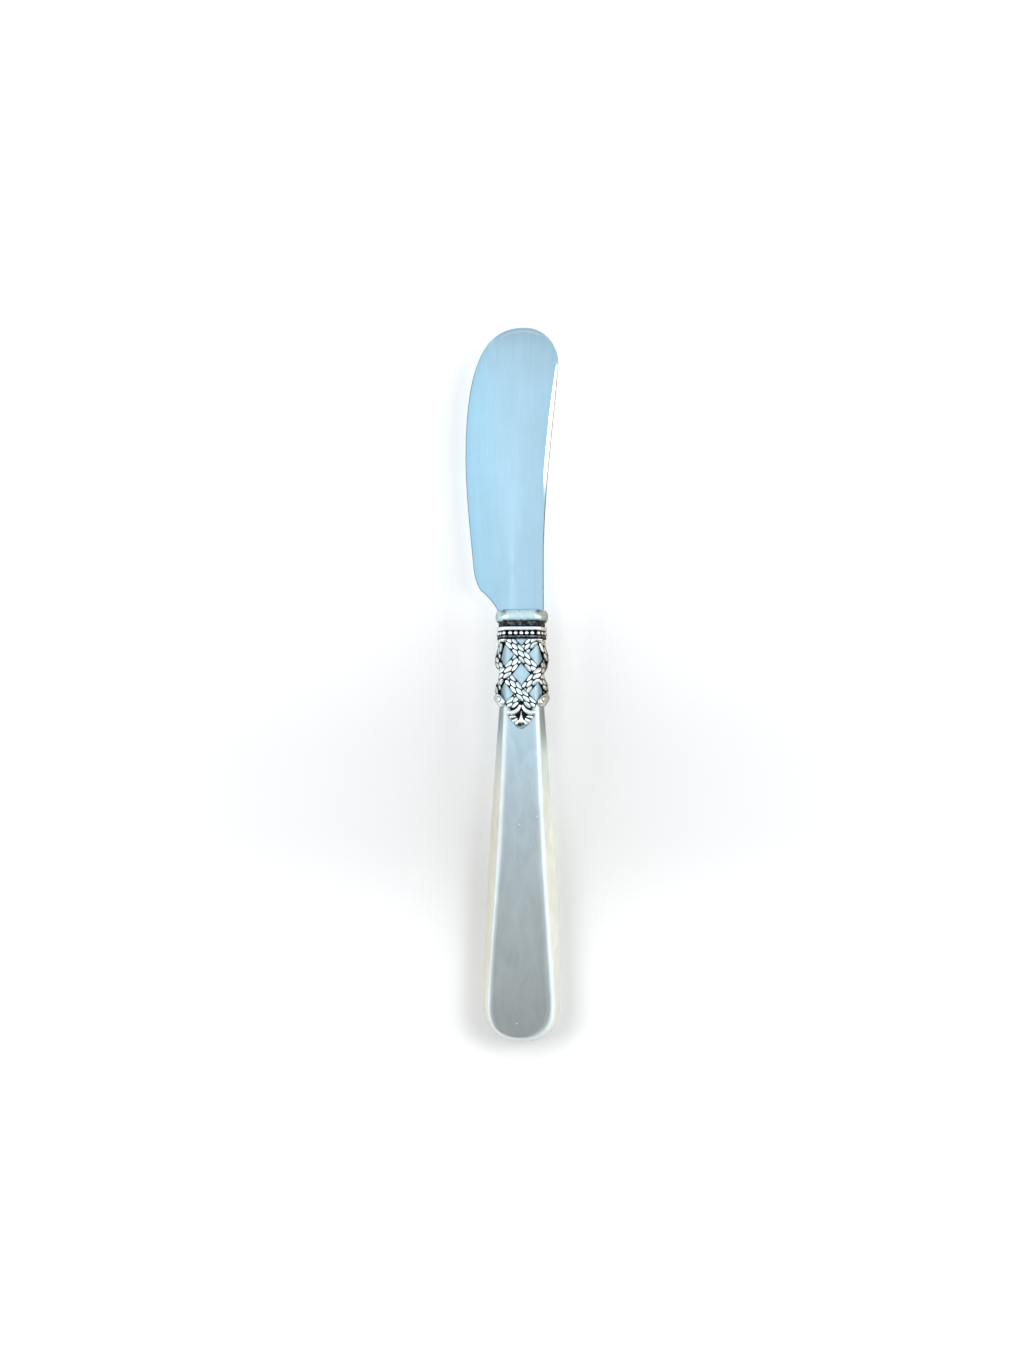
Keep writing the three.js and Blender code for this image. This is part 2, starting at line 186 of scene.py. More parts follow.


# Materials

# Brushed stainless steel, rolled, ground and brushed along the blade, drawn out in fine lines; its pale blue is a
# painted reflection of a blue sky, the bevels are painted bright as a painted reflection, and the sheared edge is
# painted dark as shade.
def brushedStainless():
    material, add = newMaterial("brushedStainless")
    place = add("TexCoord").outputs["Object"]
    axes = add("SeparateXYZ", {"Vector": place}).outputs
    polishAndPaintedLight = add("Attribute", attribute_name="bright").outputs["Fac"]
    # brush lines about 0.12 mm apart and 12 mm long, drawn at 0.3 mm so that they show
    stretch = add("Mapping", {"Vector": place, "Scale": (1 / 0.0003, 1 / 0.012, 1 / 0.0003)})
    lines = add("TexNoise", {"Vector": stretch, "Scale": 1.0, "Detail": 3.0, "Roughness": 0.6})
    # faint clouding of the polish, patches about 9 mm across
    patches = add("TexNoise", {"Vector": place, "Scale": 1 / 0.009, "Detail": 3.0})
    # painted reflection, a little cooler along the ground edge, and painted shade, greyer towards the tip
    toEdge = add("MapRange", (axes["X"], -0.001, -0.0115), **eased)
    toTip = add("MapRange", (axes["Y"], alongAt(100), alongAt(160)))
    paintedTint = add("ValToRGB", {"Fac": toTip}, [
        (0.33, "#b3d7ea"), (0.8, "#b0d3e6"), (0.93, "#a8c7d8"), (0.99, "#9eb9c9")])
    ground = add("Mix", (toEdge, paintedTint, hexColour("#eef7fb")), **multiply)
    shade = add("MapRange", (lines, 0.25, 0.75, 0.965, 1.02))
    cloud = add("MapRange", (patches, 0.3, 0.7, 0.965, 1.02))
    both = add("Math", (shade, cloud), operation="MULTIPLY")
    brushed = add("Mix", (1.0, ground, both), **multiply)
    # painted reflection: the bevels are turned near white
    paintedSheen = add("Mix", (polishAndPaintedLight, brushed, hexColour("#e6f5fb")), **blend)
    # the sheared edge, painted dark as shade, browner along the spine as painted shadow, and paler round the tip
    toSpine = add("MapRange", (axes["X"], 0.002, 0.005))
    rim = add("Mix", (toSpine, hexColour("#7b959f"), hexColour("#7d7263")), **blend)
    tipPaling = add("MapRange", (toTip, 0.8, 0.96))
    bare = add("Mix", (tipPaling, rim, hexColour("#b4d2e0")), **blend)
    sheared = add("MapRange", (polishAndPaintedLight, 0.0, -0.7))
    colour = add("Mix", (sheared, paintedSheen, bare), **blend)
    grain = add("MapRange", (lines, 0.0, 1.0, 0.24, 0.34))
    gloss = add("Mix", (polishAndPaintedLight, grain, 0.16))
    bump = add("Bump", {"Height": lines, "Strength": 0.1, "Distance": 0.00004})
    steel = add("BsdfPrincipled", {
        "Base Color": colour, "Roughness": gloss, "Normal": bump, "Metallic": 1.0, "Anisotropic": 0.4})
    add("OutputMaterial", {"Surface": steel})
    return material


# Silver plate on a casting, polished on the high places, with black patina left in the recesses,
# and painted light by side: painted shade, grey-green on the left side and warm to brown on the right.
def antiquedSilver(name, darkest, pale, brightest, roughLow, roughHigh, grain, wearDepth):
    material, add = newMaterial(name)
    place = add("TexCoord").outputs["Object"]
    polishAndPaintedLight = add("Attribute", attribute_name="bright").outputs["Fac"]
    # rubbing wear in blotches of about the grain size
    wear = add("TexNoise", {"Vector": place, "Scale": 1 / grain, "Detail": 3.0, "Roughness": 0.65})
    shift = add("MapRange", (wear, 0.25, 0.75, -wearDepth, wearDepth * 0.75))
    worn = add("Math", (polishAndPaintedLight, shift), operation="ADD", use_clamp=True)
    tone = add("ValToRGB", {"Fac": worn}, [
        (0.0, darkest), (0.3, "#2b3035"), (0.52, "#9aa7ab"), (0.74, pale), (1.0, brightest)])
    # painted shade by side: grey-green along the left side, warm and then brown along the right
    axes = add("SeparateXYZ", {"Vector": place}).outputs
    aside = add("MapRange", (axes["X"], -0.0065, 0.0065))
    paintedTint = add("ValToRGB", {"Fac": aside}, [
        (0.0, "#9c9d92"), (0.12, "#ffffff"), (0.74, "#ffffff"), (0.86, "#e6d3c6"), (0.99, "#968772")])
    sideShaded = add("Mix", (1.0, tone, paintedTint), **multiply)
    gloss = add("MapRange", (worn, 0.0, 1.0, roughHigh, roughLow))
    # fine pitting of the casting, about 0.15 mm
    pits = add("TexNoise", {"Vector": place, "Scale": 1 / 0.00015, "Detail": 2.0})
    bump = add("Bump", {"Height": pits, "Strength": 0.12, "Distance": 0.00003})
    silver = add("BsdfPrincipled", {"Base Color": sideShaded, "Roughness": gloss, "Normal": bump, "Metallic": 1.0})
    add("OutputMaterial", {"Surface": silver})
    return material


# Pearl acrylic, cast in sheet and polished, under a clear gloss: grey to silvery blue on the faces, partly a painted
# reflection of a blue sky, with a painted highlight white along the shoulders, and painted side light cream on the cut
# sides, paler on the right, with painted shade near the ferrule.
def pearlAcrylic():
    material, add = newMaterial("pearlAcrylic")
    spots = add("TexCoord").outputs
    place = spots["Object"]
    axes = add("SeparateXYZ", {"Vector": place}).outputs
    share = add("MapRange", (axes["Y"], alongAt(0), alongAt(80)))
    # pearl tone with a painted sky reflection: grey at the butt to blue at the neck
    face = add("ValToRGB", {"Fac": share}, [
        (0.06, "#979f9f"), (0.16, "#9ea7a8"), (0.34, "#a8b3b5"), (0.5, "#b0bec3"),
        (0.68, "#b5c8d1"), (0.84, "#bad7e6"), (0.92, "#c1e0f0")])
    # painted side light: cream on the cut sides, paler on the right, with painted shade darkening them towards the
    # ferrule
    cutLeft = add("ValToRGB", {"Fac": share}, [
        (0.1, "#dedac6"), (0.68, "#dcd9c6"), (0.8, "#c3cac4"), (0.86, "#8ba2ad"), (0.905, "#687c85")])
    cutRight = add("ValToRGB", {"Fac": share}, [
        (0.1, "#e4e3d0"), (0.6, "#ebedd9"), (0.8, "#cbd4c9"), (0.86, "#848e82"), (0.905, "#656e68")])
    onRight = add("MapRange", (axes["X"], -0.002, 0.002))
    cut = add("Mix", (onRight, cutLeft, cutRight), **blend)
    facing = add("SeparateXYZ", {"Vector": spots["Normal"]}).outputs
    flat = add("Math", [facing["Z"]], operation="ABSOLUTE")
    onFace = add("MapRange", (flat, 0.5, 0.9), **eased)
    plain = add("Mix", (onFace, cut, face), **blend)
    # painted highlight along the shoulders, from the bright attribute
    shoulder = add("Attribute", attribute_name="bright").outputs["Fac"]
    body = add("Mix", (shoulder, plain, hexColour("#eefafd")), **blend)
    # inside the ferrule the neck is painted pale all round, lighter to make up for the ropes' shade, with painted shade
    # at its sides
    neck = add("ValToRGB", {"Fac": flat}, [
        (0.1, "#76888f"), (0.6, "#88a9b8"), (0.9, "#a0c6d7"), (0.98, "#bbe2f2"), (1.0, "#c7eefe")])
    inFerrule = add("MapRange", (axes["Y"], alongAt(74.2), alongAt(75.6)))
    whole = add("Mix", (inFerrule, body, neck), **blend)
    # pearl clouds about 3 mm across, drawn out three times as long along the handle
    stretch = add("Mapping", {"Vector": place, "Scale": (1 / 0.003, 1 / 0.009, 1 / 0.003)})
    clouds = add("TexNoise", {"Vector": stretch, "Scale": 1.0, "Detail": 4.0, "Distortion": 0.8})
    cloudTone = add("MapRange", (clouds, 0.3, 0.7, 0.91, 1.08))
    # pigment flakes about 0.1 mm across, drawn at 0.3 mm so that their grain shows
    grain = add("TexNoise", {"Vector": place, "Scale": 1 / 0.0003, "Detail": 1.0})
    grainTone = add("MapRange", (grain, 0.3, 0.7, 0.975, 1.02))
    both = add("Math", (cloudTone, grainTone), operation="MULTIPLY")
    clouded = add("Mix", (1.0, whole, both), **multiply)
    # stray bright flakes about 0.4 mm across, one every 4 mm or so
    flakes = add("TexVoronoi", {"Vector": place, "Scale": 1 / 0.004})
    flake = add("MapRange", (flakes, 0.03, 0.065, 0.6, 0.0))
    colour = add("Mix", (flake, clouded, hexColour("#e9f3f6")), **blend)
    # handling marks in the gloss, about 1.5 mm across
    marks = add("TexNoise", {"Vector": place, "Scale": 1 / 0.0015, "Detail": 4.0})
    gloss = add("MapRange", (marks, 0.0, 1.0, 0.14, 0.3))
    pearl = add("BsdfPrincipled", {
        "Base Color": colour, "Roughness": gloss, "IOR": 1.49, "Coat Weight": 0.5, "Coat Roughness": 0.08})
    add("OutputMaterial", {"Surface": pearl})
    return material


# Cutler's cement, a filled resin poured round the tang: dull, off-white and a little grainy.
def cutlersCement():
    material, add = newMaterial("cutlersCement")
    place = add("TexCoord").outputs["Object"]
    # filler grains, 0.6 mm
    grains = add("TexNoise", {"Vector": place, "Scale": 1 / 0.0006, "Detail": 3.0})
    tone = add("ValToRGB", {"Fac": grains}, [(0.3, "#c9c0ab"), (0.7, "#e0d9c8")])
    bump = add("Bump", {"Height": grains, "Strength": 0.3, "Distance": 0.0001})
    cement = add("BsdfPrincipled", {"Base Color": tone, "Roughness": 0.65, "Normal": bump})
    add("OutputMaterial", {"Surface": cement})
    return material


steelFinish = brushedStainless()
# the cap's pale and brightest tones are blue as a painted reflection of a blue sky
capFinish = antiquedSilver(
    "satinSilverPlate", darkest="#15181b", pale="#c2dbe2", brightest="#d2eaf1",
    roughLow=0.36, roughHigh=0.56, grain=0.0009, wearDepth=0.26)
ferruleFinish = antiquedSilver(
    "antiquedSilverPlate", darkest="#060708", pale="#d6e6e9", brightest="#f6fdfd",
    roughLow=0.26, roughHigh=0.6, grain=0.0007, wearDepth=0.16)
pearlFinish = pearlAcrylic()
cementFinish = cutlersCement()
print("materials ready")


# Handle

handle = {
    "length": handleLength, "buttWidth": 17.2, "buttDepth": 9.4, "buttRound": 9.0, "fullness": 2.4, "restLength": 16.0,
    "neckWidth": 10.2, "neckDepth": 7.4, "neckStart": handleLength - 17.7, "flareEase": 1.45,
    "neckInset": 1.45, "middleInset": 2.2, "buttInset": 0.5, "insetEase": 1.5, "rimRound": 1.0, "sideRound": 1.7,
    "crown": 0.1, "crownFade": 5.0, "crownFlat": 4,
    "collarFoot": handleLength - 2.8, "tenonStep": 0.5, "boreWidth": 7.4, "boreDepth": 3.8, "boreEnd": 49.3,
    "flareSteps": 44, "buttSteps": 44, "roundSteps": 12, "faceSteps": 14, "sharpAngle": 40,
    # painted highlight, white along the shoulders: where it is whitest, how far it fades outwards, and how far inwards
    # at the two ends of a run along each side
    "glowAt": -0.08, "glowOut": 0.26, "glowLeft": (0.3, 0.7), "glowLeftRun": (25, 45),
    "glowRight": (0.68, 0.8), "glowRightRun": (4, 14), "glowAcross": (0, 5),
}


def curvePoints(a, b, c, steps):
    points = []
    for i in range(steps + 1):
        t = i / steps
        points.append(tuple((1 - t) ** 2 * a[k] + 2 * t * (1 - t) * b[k] + t * t * c[k] for k in (0, 1)))
    return points


# half of the section: how far in from the widest line, and height above the middle plane
def rimProfile(halfDepth, inset):
    wall = math.hypot(inset, halfDepth)
    rim = min(handle["rimRound"], wall / 2)
    turn = min(handle["sideRound"], wall / 2)
    side = -turn * inset / wall / 2
    length = math.hypot(side - inset, halfDepth)
    slope = ((side - inset) / length, -halfDepth / length)
    steps = handle["roundSteps"]
    down = (inset + slope[0] * rim, halfDepth + slope[1] * rim)
    upper = curvePoints((inset + rim, halfDepth), (inset, halfDepth), down, steps)
    above = (side - slope[0] * turn, -slope[1] * turn)
    middle = curvePoints(above, (side, 0), (above[0], -above[1]), steps)
    lower = [(p[0], -p[1]) for p in reversed(upper)]
    return upper + middle + lower


def flare(y, start, wide, narrow):
    share = min(max((y - start) / (handle["neckStart"] - start), 0), 1)
    return wide - (wide - narrow) * share ** handle["flareEase"]


def insetAt(y):
    h = handle
    share = min(max((h["neckStart"] - y) / (h["neckStart"] - h["buttRound"]), 0), 1)
    beside = mix(h["neckInset"], h["middleInset"], math.sin(math.pi * share))
    return mix(beside, h["buttInset"], max(1 - y / h["buttRound"], 0) ** h["insetEase"])


def handleOutline():
    h = handle
    right = [(h["neckWidth"] / 2, h["collarFoot"])]
    for i in range(h["flareSteps"]):
        y = mix(h["neckStart"], h["buttRound"], i / h["flareSteps"])
        right.append((flare(y, h["buttRound"], h["buttWidth"], h["neckWidth"]) / 2, y))
    power = 2 / h["fullness"]
    for i in range(h["buttSteps"] // 2):
        angle = math.pi * i / h["buttSteps"]
        x = h["buttWidth"] / 2 * math.cos(angle) ** power
        right.append((x, h["buttRound"] * (1 - math.sin(angle) ** power)))
    return right + [(0, 0)] + [(-x, y) for x, y in reversed(right)]


# a loop round a slot with softened corners, point for point with a ring round the neck
def slotLoop(ring, width, depth, y):
    loop = []
    for x, _, z in ring:
        angle = math.atan2(z / depth, x / width)
        reach = (math.cos(angle) ** 4 + math.sin(angle) ** 4) ** 0.25
        loop.append((width / 2 * math.cos(angle) / reach, y, depth / 2 * math.sin(angle) / reach))
    return loop


# painted highlight: how white the shoulder is painted at a distance p in from the widest line at (x, y)
def paintedShoulderHighlight(p, x, y):
    h = handle
    past = p - insetAt(y) - h["glowAt"]
    left = mix(*h["glowLeft"], smooth(*h["glowLeftRun"], y))
    right = mix(*h["glowRight"], smooth(*h["glowRightRun"], y))
    reach = h["glowOut"] if past < 0 else mix(left, right, smooth(*h["glowAcross"], x))
    return math.exp(-(past / reach) ** 2)


def makeHandle():
    h = handle
    outline = handleOutline()
    shells = newShells()
    points, faces, bright = shells["points"], shells["faces"], shells["bright"]
    for i, (px, py) in enumerate(outline):
        along = directionAt(outline, i)
        inward = (-math.copysign(1, px), 0) if py >= h["neckStart"] else (along.y, -along.x)
        halfDepth = flare(py, h["buttRound"] + h["restLength"], h["buttDepth"], h["neckDepth"]) / 2
        crown = h["crown"] * (1 - smooth(h["neckStart"] - h["crownFade"], h["neckStart"], py))
        for p, z in rimProfile(halfDepth - crown, insetAt(py)):
            points.append((px + inward[0] * p, py + inward[1] * p, z))
            bright.append(paintedShoulderHighlight(p, px, py))
    last = len(outline) - 1
    count = len(points) // (last + 1)
    for i in range(last):
        for j in range(count - 1):
            here = i * count + j
            faces.append((here, here + count, here + count + 1, here + 1))
    # the two faces, polished to a slight crown that dies out towards the neck and the butt
    flatEnd = points[last // 2 * count][1]
    ends = []
    for side, up in ((0, 1), (count - 1, -1)):
        rows = []
        for i in range(last // 2):
            right, left = i * count + side, (last - i) * count + side
            row = [right]
            lift = h["crown"] * smooth(0, h["crownFade"], points[right][1] - flatEnd)
            lift *= 1 - smooth(h["neckStart"] - h["crownFade"], h["neckStart"], points[right][1])
            for k in range(1, h["faceSteps"]):
                t = k / h["faceSteps"]
                x, y, z = (mix(points[right][c], points[left][c], t) for c in (0, 1, 2))
                row.append(len(points))
                points.append((x, y, z + up * lift * (1 - abs(2 * t - 1) ** h["crownFlat"])))
                bright.append(0.0)
            rows.append(row + [left])
        rows.append([last // 2 * count + side] * (h["faceSteps"] + 1))
        for row, after in zip(rows, rows[1:]):
            for k in range(h["faceSteps"]):
                faces.append(tuple(dict.fromkeys((row[k], row[k + 1], after[k + 1], after[k]))))
        ends.append(rows[0][1:-1])
    # step down to the tenon, across its end, and down the bore for the tang
    loop = list(range(count)) + ends[1] + [last * count + j for j in reversed(range(count))] + ends[0][::-1]
    ring = [points[k] for k in loop]
    shrink = 1 - 2 * h["tenonStep"] / h["neckWidth"], 1 - 2 * h["tenonStep"] / h["neckDepth"]
    tenon = [(x * shrink[0], y, z * shrink[1]) for x, y, z in ring]
    loops = [
        tenon,
        [(x, h["length"], z) for x, y, z in tenon],
        slotLoop(ring, h["boreWidth"], h["boreDepth"], h["length"]),
        slotLoop(ring, h["boreWidth"], h["boreDepth"], h["boreEnd"]),
    ]
    for fresh in loops:
        inner = addPoints(shells, fresh, [0.0] * len(fresh))
        addBand(shells, loop, inner)
        loop = inner
    faces.append(tuple(loop))
    makePiece("pearlHandle", shells, pearlFinish, "handle", h["sharpAngle"])


makeHandle()


# The neck unrolled: a runs round it in mm from the middle of the front, n stands off its surface

def neckTrack():
    half = handle["neckWidth"] / 2
    right = [(half - p, z) for p, z in rimProfile(handle["neckDepth"] / 2, handle["neckInset"])]
    points = [(0.0, handle["neckDepth"] / 2)] + right + [(-x, z) for x, z in reversed(right)]
    lengths, normals = [0.0], []
    for i, p in enumerate(points):
        lengths.append(lengths[-1] + math.dist(p, points[(i + 1) % len(points)]))
        across = directionAt(points, i, looped=True)
        normals.append((-across.y, across.x))
    return points, lengths, normals


neckPoints, neckLengths, neckNormals = neckTrack()
neckRound = neckLengths[-1]


def wrap(a, y, n):
    place = a % neckRound
    i = min(bisect.bisect_right(neckLengths, place) - 1, len(neckPoints) - 1)
    k = (i + 1) % len(neckPoints)
    t = (place - neckLengths[i]) / max(neckLengths[i + 1] - neckLengths[i], 1e-9)
    normal = Vector(neckNormals[i]).lerp(Vector(neckNormals[k]), t).normalized()
    x, z = (mix(neckPoints[i][c], neckPoints[k][c], t) for c in (0, 1))
    return (x + normal.x * n, y, z + normal.y * n)


# Ferrule: brightness runs from 0 in the black recesses to 1 on the polished tops, with painted highlight and shade
# mixed in

ferrule = newShells()
ferruleSharpAngle = 60
reliefSink = 0.1  # how deep leaves and petals are let into the neck

collar = {
    "top": handleLength + 0.1, "ringHeight": 0.88, "beadDrop": 1.52, "lipDrop": 2.02, "height": 2.7, "inside": -0.3,
    "ringProud": 0.6, "channel": 0.26, "lipProud": 0.46, "soften": 0.12, "around": 168,
    "ringFullness": 0.6, "ringSteps": 8, "ringShine": (0.1, 0.7),
    "beads": 24, "beadRadius": 0.52, "beadProud": 0.66, "beadSides": 12, "beadRings": 8,
    "beadShine": (-0.05, 0.7), "beadShade": 0.3,
}


# a plain ring, the channel of the beads and the lip below it, swept round the neck
def makeCollar():
    c = collar
    ringFoot, lipTop, foot = c["top"] - c["ringHeight"], c["top"] - c["lipDrop"], c["top"] - c["height"]
    lip, soft, channel = c["lipProud"], c["soften"], c["channel"]
    # how far it stands off the neck, level and brightness
    profile = [
        (c["inside"], foot, 0.0), (lip - soft, foot, 0.05), (lip, foot + soft, 0.22), (lip, lipTop - soft, 0.46),
        (lip - soft, lipTop, 0.2), (channel, lipTop + soft / 2, 0.0), (channel, ringFoot - soft / 2, 0.0),
    ]
    for i in range(c["ringSteps"] + 1):
        angle = math.pi * (i / c["ringSteps"] - 0.5)
        bulge = math.cos(angle) ** c["ringFullness"]
        y = ringFoot + c["ringHeight"] * (0.5 + 0.5 * math.sin(angle))
        profile.append((mix(channel, c["ringProud"], bulge), y, smooth(*c["ringShine"], bulge)))
    profile.append((c["inside"], c["top"], 0.0))
    places = [neckRound * i / c["around"] for i in range(c["around"])]
    addShell(ferrule, [[(wrap(a, y, n), value) for a in places] for n, y, value in profile], looped=True)


def makeBeads():
    c = collar
    y = c["top"] - c["beadDrop"]
    along = Vector((0, 1, 0))
    for i in range(c["beads"]):
        a = neckRound * i / c["beads"]
        centre = Vector(wrap(a, y, c["beadProud"] - c["beadRadius"]))
        outward = (Vector(wrap(a, y, 1)) - Vector(wrap(a, y, 0))).normalized()
        across = outward.cross(along)
        rings = []
        # painted light: each bead is brightest on top and painted darker on its lower side as shade
        for tilt in [math.pi * k / c["beadRings"] for k in range(1, c["beadRings"])]:
            shine = smooth(*c["beadShine"], math.cos(tilt))
            ring = []
            for spin in [2 * math.pi * m / c["beadSides"] for m in range(c["beadSides"])]:
                spoke = math.cos(spin) * along + math.sin(spin) * across
                point = centre + c["beadRadius"] * (math.cos(tilt) * outward + math.sin(tilt) * spoke)
                shade = c["beadShade"] * math.sin(tilt) * (1 - math.cos(spin))  # darker on the lower side
                ring.append((tuple(point), shine * (1 - shade)))
            rings.append(ring)
        addShell(ferrule, rings)


ropes = {
    "columns": 8, "rowPitch": 4.5, "firstRow": handleLength - 6.1, "sidePull": 0.3, "sideFrom": 0.7,
    "topEnd": handleLength - 1.0, "root": -0.06, "lip": handleLength - 2.62, "lipCut": (-0.12, 0.03), "lipDark": 0.3,
    "faceEnd": handle["neckStart"] - 0.65, "sideEnd": handle["neckStart"] + 0.9, "splay": 0.15, "splayFrom": 2,
    "wingGap": 0.25, "wingFlat": 0.1, "step": 0.1, "over": 0.86, "under": 0.2, "taper": 1.2, "endLeast": 0.01,
    "footHalf": 1.27, "footDepth": -0.12, "footLeast": 0.08, "footRise": 1.05, "footLift": 0.1, "footEase": 0.04,
    "domeHalf": 1.17, "domeLeast": 0.05, "domeFullness": 0.7, "domeShine": (0.05, 0.35), "domeSteps": 30,
    "scalePitch": 2.2, "scaleSide": 0.8, "scaleHeight": 0.13, "scaleLong": 1.02, "scaleWide": 0.64,
    "scaleNarrow": 0.25, "scalePoint": 1.8, "scaleEdge": (0.7, 1.06), "scaleDome": 0.4, "scaleShade": 0.2,
    "scaleTone": 0.16, "toneAlong": 2.4, "toneAcross": 1.7,
}


# height and brightness of the leaf-shaped scales, by distance along the rope and across it
def scaleRelief(s, across):
    r = ropes
    u = s / (r["scalePitch"] / 2)
    v = across / r["scaleSide"]
    power = r["scalePoint"]
    nearest, tone = math.inf, 0.0
    for column in (-1, 0, 1):
        for i in range(math.floor(u) - 1, math.floor(u) + 3):
            if (i + column) % 2 == 0:
                along = u - i
                wide = r["scaleWide"] * (1 - r["scaleNarrow"] * max(along, 0))  # narrower towards its lower end
                reach = (abs(along / r["scaleLong"]) ** power + abs((v - column) / wide) ** power) ** (1 / power)
                if reach < nearest:  # no two scales are toned alike
                    nearest, tone = reach, 0.5 + 0.5 * math.sin(i * r["toneAlong"] + column * r["toneAcross"])
    raised = 1 - smooth(*r["scaleEdge"], nearest)
    # painted shade: each scale greys towards its edge
    shine = raised * (1 - r["scaleTone"] * tone - r["scaleShade"] * nearest ** 2)
    return raised * (1 - r["scaleDome"] * nearest ** 2), shine


# centre line of a rope, as (a, y, rows below the first crossing), with its crossings drawn together at the sides,
# where it ends under a leaf
def ropeLine(column, hand):
    r = ropes
    spacing = neckRound / r["columns"]
    middle = r["firstRow"] - r["rowPitch"]
    turn = (column + hand * (r["firstRow"] - r["faceEnd"]) / r["rowPitch"]) / r["columns"]
    end = r["sideEnd"] if abs(math.sin(2 * math.pi * turn)) > r["sideFrom"] else r["faceEnd"]
    count = round((r["topEnd"] - end) / r["rowPitch"] * math.hypot(spacing, r["rowPitch"]) / r["step"])
    line = []
    for i in range(count + 1):
        y = mix(r["topEnd"], end, i / count)
        rows = (r["firstRow"] - y) / r["rowPitch"]
        spread = r["splay"] * max(rows - r["splayFrom"], 0) if end == r["faceEnd"] else 0
        a = (column + hand * (rows + spread)) * spacing
        fade = max(0, 1 - ((y - middle) / (2 * r["rowPitch"])) ** 2)
        pull = r["sidePull"] * fade * math.sin(2 * math.pi * a / neckRound) ** 2
        line.append((a, y - (y - middle) * pull, rows))
    return line


# level of the upper edge of the palmette's wings, which the ropes stop short of
def wingTop(fromMiddle):
    p = palmette
    return handle["neckStart"] - p["wingDrop"] + p["wingRise"] * max(1 - fromMiddle / p["wingSpan"], 0) ** 2


def makeRope(column, hand):
    r = ropes
    line = ropeLine(column, hand)
    perRow = math.hypot(neckRound / r["columns"], r["rowPitch"])
    rings = []
    for i, (a, y, rows) in enumerate(line):
        along = directionAt(line, i)
        top = mix(r["under"], r["over"], 0.5 + 0.5 * hand * math.cos(math.pi * rows))
        left = (len(line) - 1 - i) * r["step"] / r["taper"]  # runs down to 0 over the rounded lower end
        ending = math.sqrt(max(1 - max(1 - left, 0) ** 2, r["endLeast"]))
        foot = r["footRise"] * (top - (r["over"] + r["under"]) / 2) + r["footLift"]
        foot = max(r["footLeast"], foot) * ending
        wall = foot - r["footEase"]
        section = [(-r["footHalf"], r["footDepth"], 0.0), (-r["footHalf"], wall, 0.0)]
        for j in range(r["domeSteps"] + 1):
            angle = math.pi * (j / r["domeSteps"] - 0.5)
            side = r["domeHalf"] * math.sin(angle)
            raised, shine = scaleRelief(rows * perRow, side)
            rise = math.cos(angle) ** r["domeFullness"]
            n = foot + max(top * ending - foot, r["domeLeast"]) * rise + r["scaleHeight"] * raised * rise * ending
            # down its sides the rope darkens to its black foot, partly patina, partly painted shade
            section.append((side, n, shine * smooth(*r["domeShine"], rise)))
        section += [(r["footHalf"], wall, 0.0), (r["footHalf"], r["footDepth"], 0.0)]
        ring = []
        for side, n, value in section:
            place, level = a - along.y * side * ending, y + along.x * side * ending
            fromMiddle = abs((place + neckRound / 4) % (neckRound / 2) - neckRound / 4)
            clear = smooth(0, r["wingGap"], level - wingTop(fromMiddle))
            ended = smooth(*r["lipCut"], level - r["lip"])  # cut off under the collar, only a flat root runs on
            height = mix(mix(min(n, r["wingFlat"]), n, clear), min(n, r["root"]), ended)
            ring.append((wrap(place, level, height), value * clear * smooth(0, r["lipDark"], r["lip"] - level)))
        rings.append(ring)
    addShell(ferrule, rings)


# centre lines of one half of the palmette, across and down from the lower ends of the ropes,
# with half widths and heights along them
palmette = {
    "petals": [
        {"line": [(0.0, 1.0), (0.0, 2.2), (0.0, 3.0), (0.0, 4.1)], "wide": [0.1, 0.02, 0.6, 0.86],
         "high": [0.6, 0.85, 1.0, 0.95], "tip": 0.22},
        {"line": [(0.25, -0.35), (0.45, 1.0), (1.5, 1.95), (3.3, 1.35)], "wide": [0.24, 0.52, 0.64, 0.48],
         "high": [0.8, 1.0, 1.0, 0.85], "tip": 0.11},
        {"line": [(1.05, 2.4), (1.6, 2.45), (2.1, 2.55), (2.65, 2.55)], "wide": [0.1, 0.3, 0.42, 0.36],
         "high": [0.6, 0.8, 0.85, 0.75], "tip": 0.22},
        {"line": [(0.8, 2.7), (1.12, 3.05), (1.5, 3.35), (2.0, 3.6)], "wide": [0.1, 0.3, 0.46, 0.4],
         "high": [0.6, 0.8, 0.85, 0.75], "tip": 0.22},
        {"line": [(0.62, 3.1), (0.8, 3.55), (1.0, 3.9), (1.25, 4.25)], "wide": [0.1, 0.3, 0.44, 0.36],
         "high": [0.6, 0.8, 0.85, 0.75], "tip": 0.22},
    ],
    "endWidth": 0.02, "endHeight": 0.3, "steps": 26,
    "ridgeSteps": 14, "ridgeFullness": 0.45, "ridgeShine": (0.1, 0.5),
    "wingDrop": 1.0, "wingRise": 1.7, "wingSpan": 2.3,
    "rim": [(3.05, 1.75), (2.0, 3.35), (1.05, 4.95), (0.0, 5.02)],
    "rimHalf": 0.16, "rimHigh": 0.42, "rimShine": 0.5, "rimSteps": 8,
    "plate": 0.3, "plateTop": -1.2, "plateHalf": 1.2, "plateShoulder": -0.6, "plateShine": (0.1, 0.6),
    "plateFoot": (3.9, 4.5),
}


# a domed ridge along a line on the unrolled neck, dark along its foot
def addRidge(line, widths, tops, steps, shine):
    p = palmette
    rings = []
    for i, (a, y) in enumerate(line):
        along = directionAt(line, i)
        ring = []
        for angle in [math.pi * (j / steps - 0.5) for j in range(steps + 1)]:
            side = widths[i] * math.sin(angle)
            rise = math.cos(angle) ** p["ridgeFullness"]
            point = wrap(a - along.y * side, y + along.x * side, tops[i] * rise - reliefSink)
            ring.append((point, shine * smooth(*p["ridgeShine"], rise)))
        rings.append(ring)
    addShell(ferrule, rings)


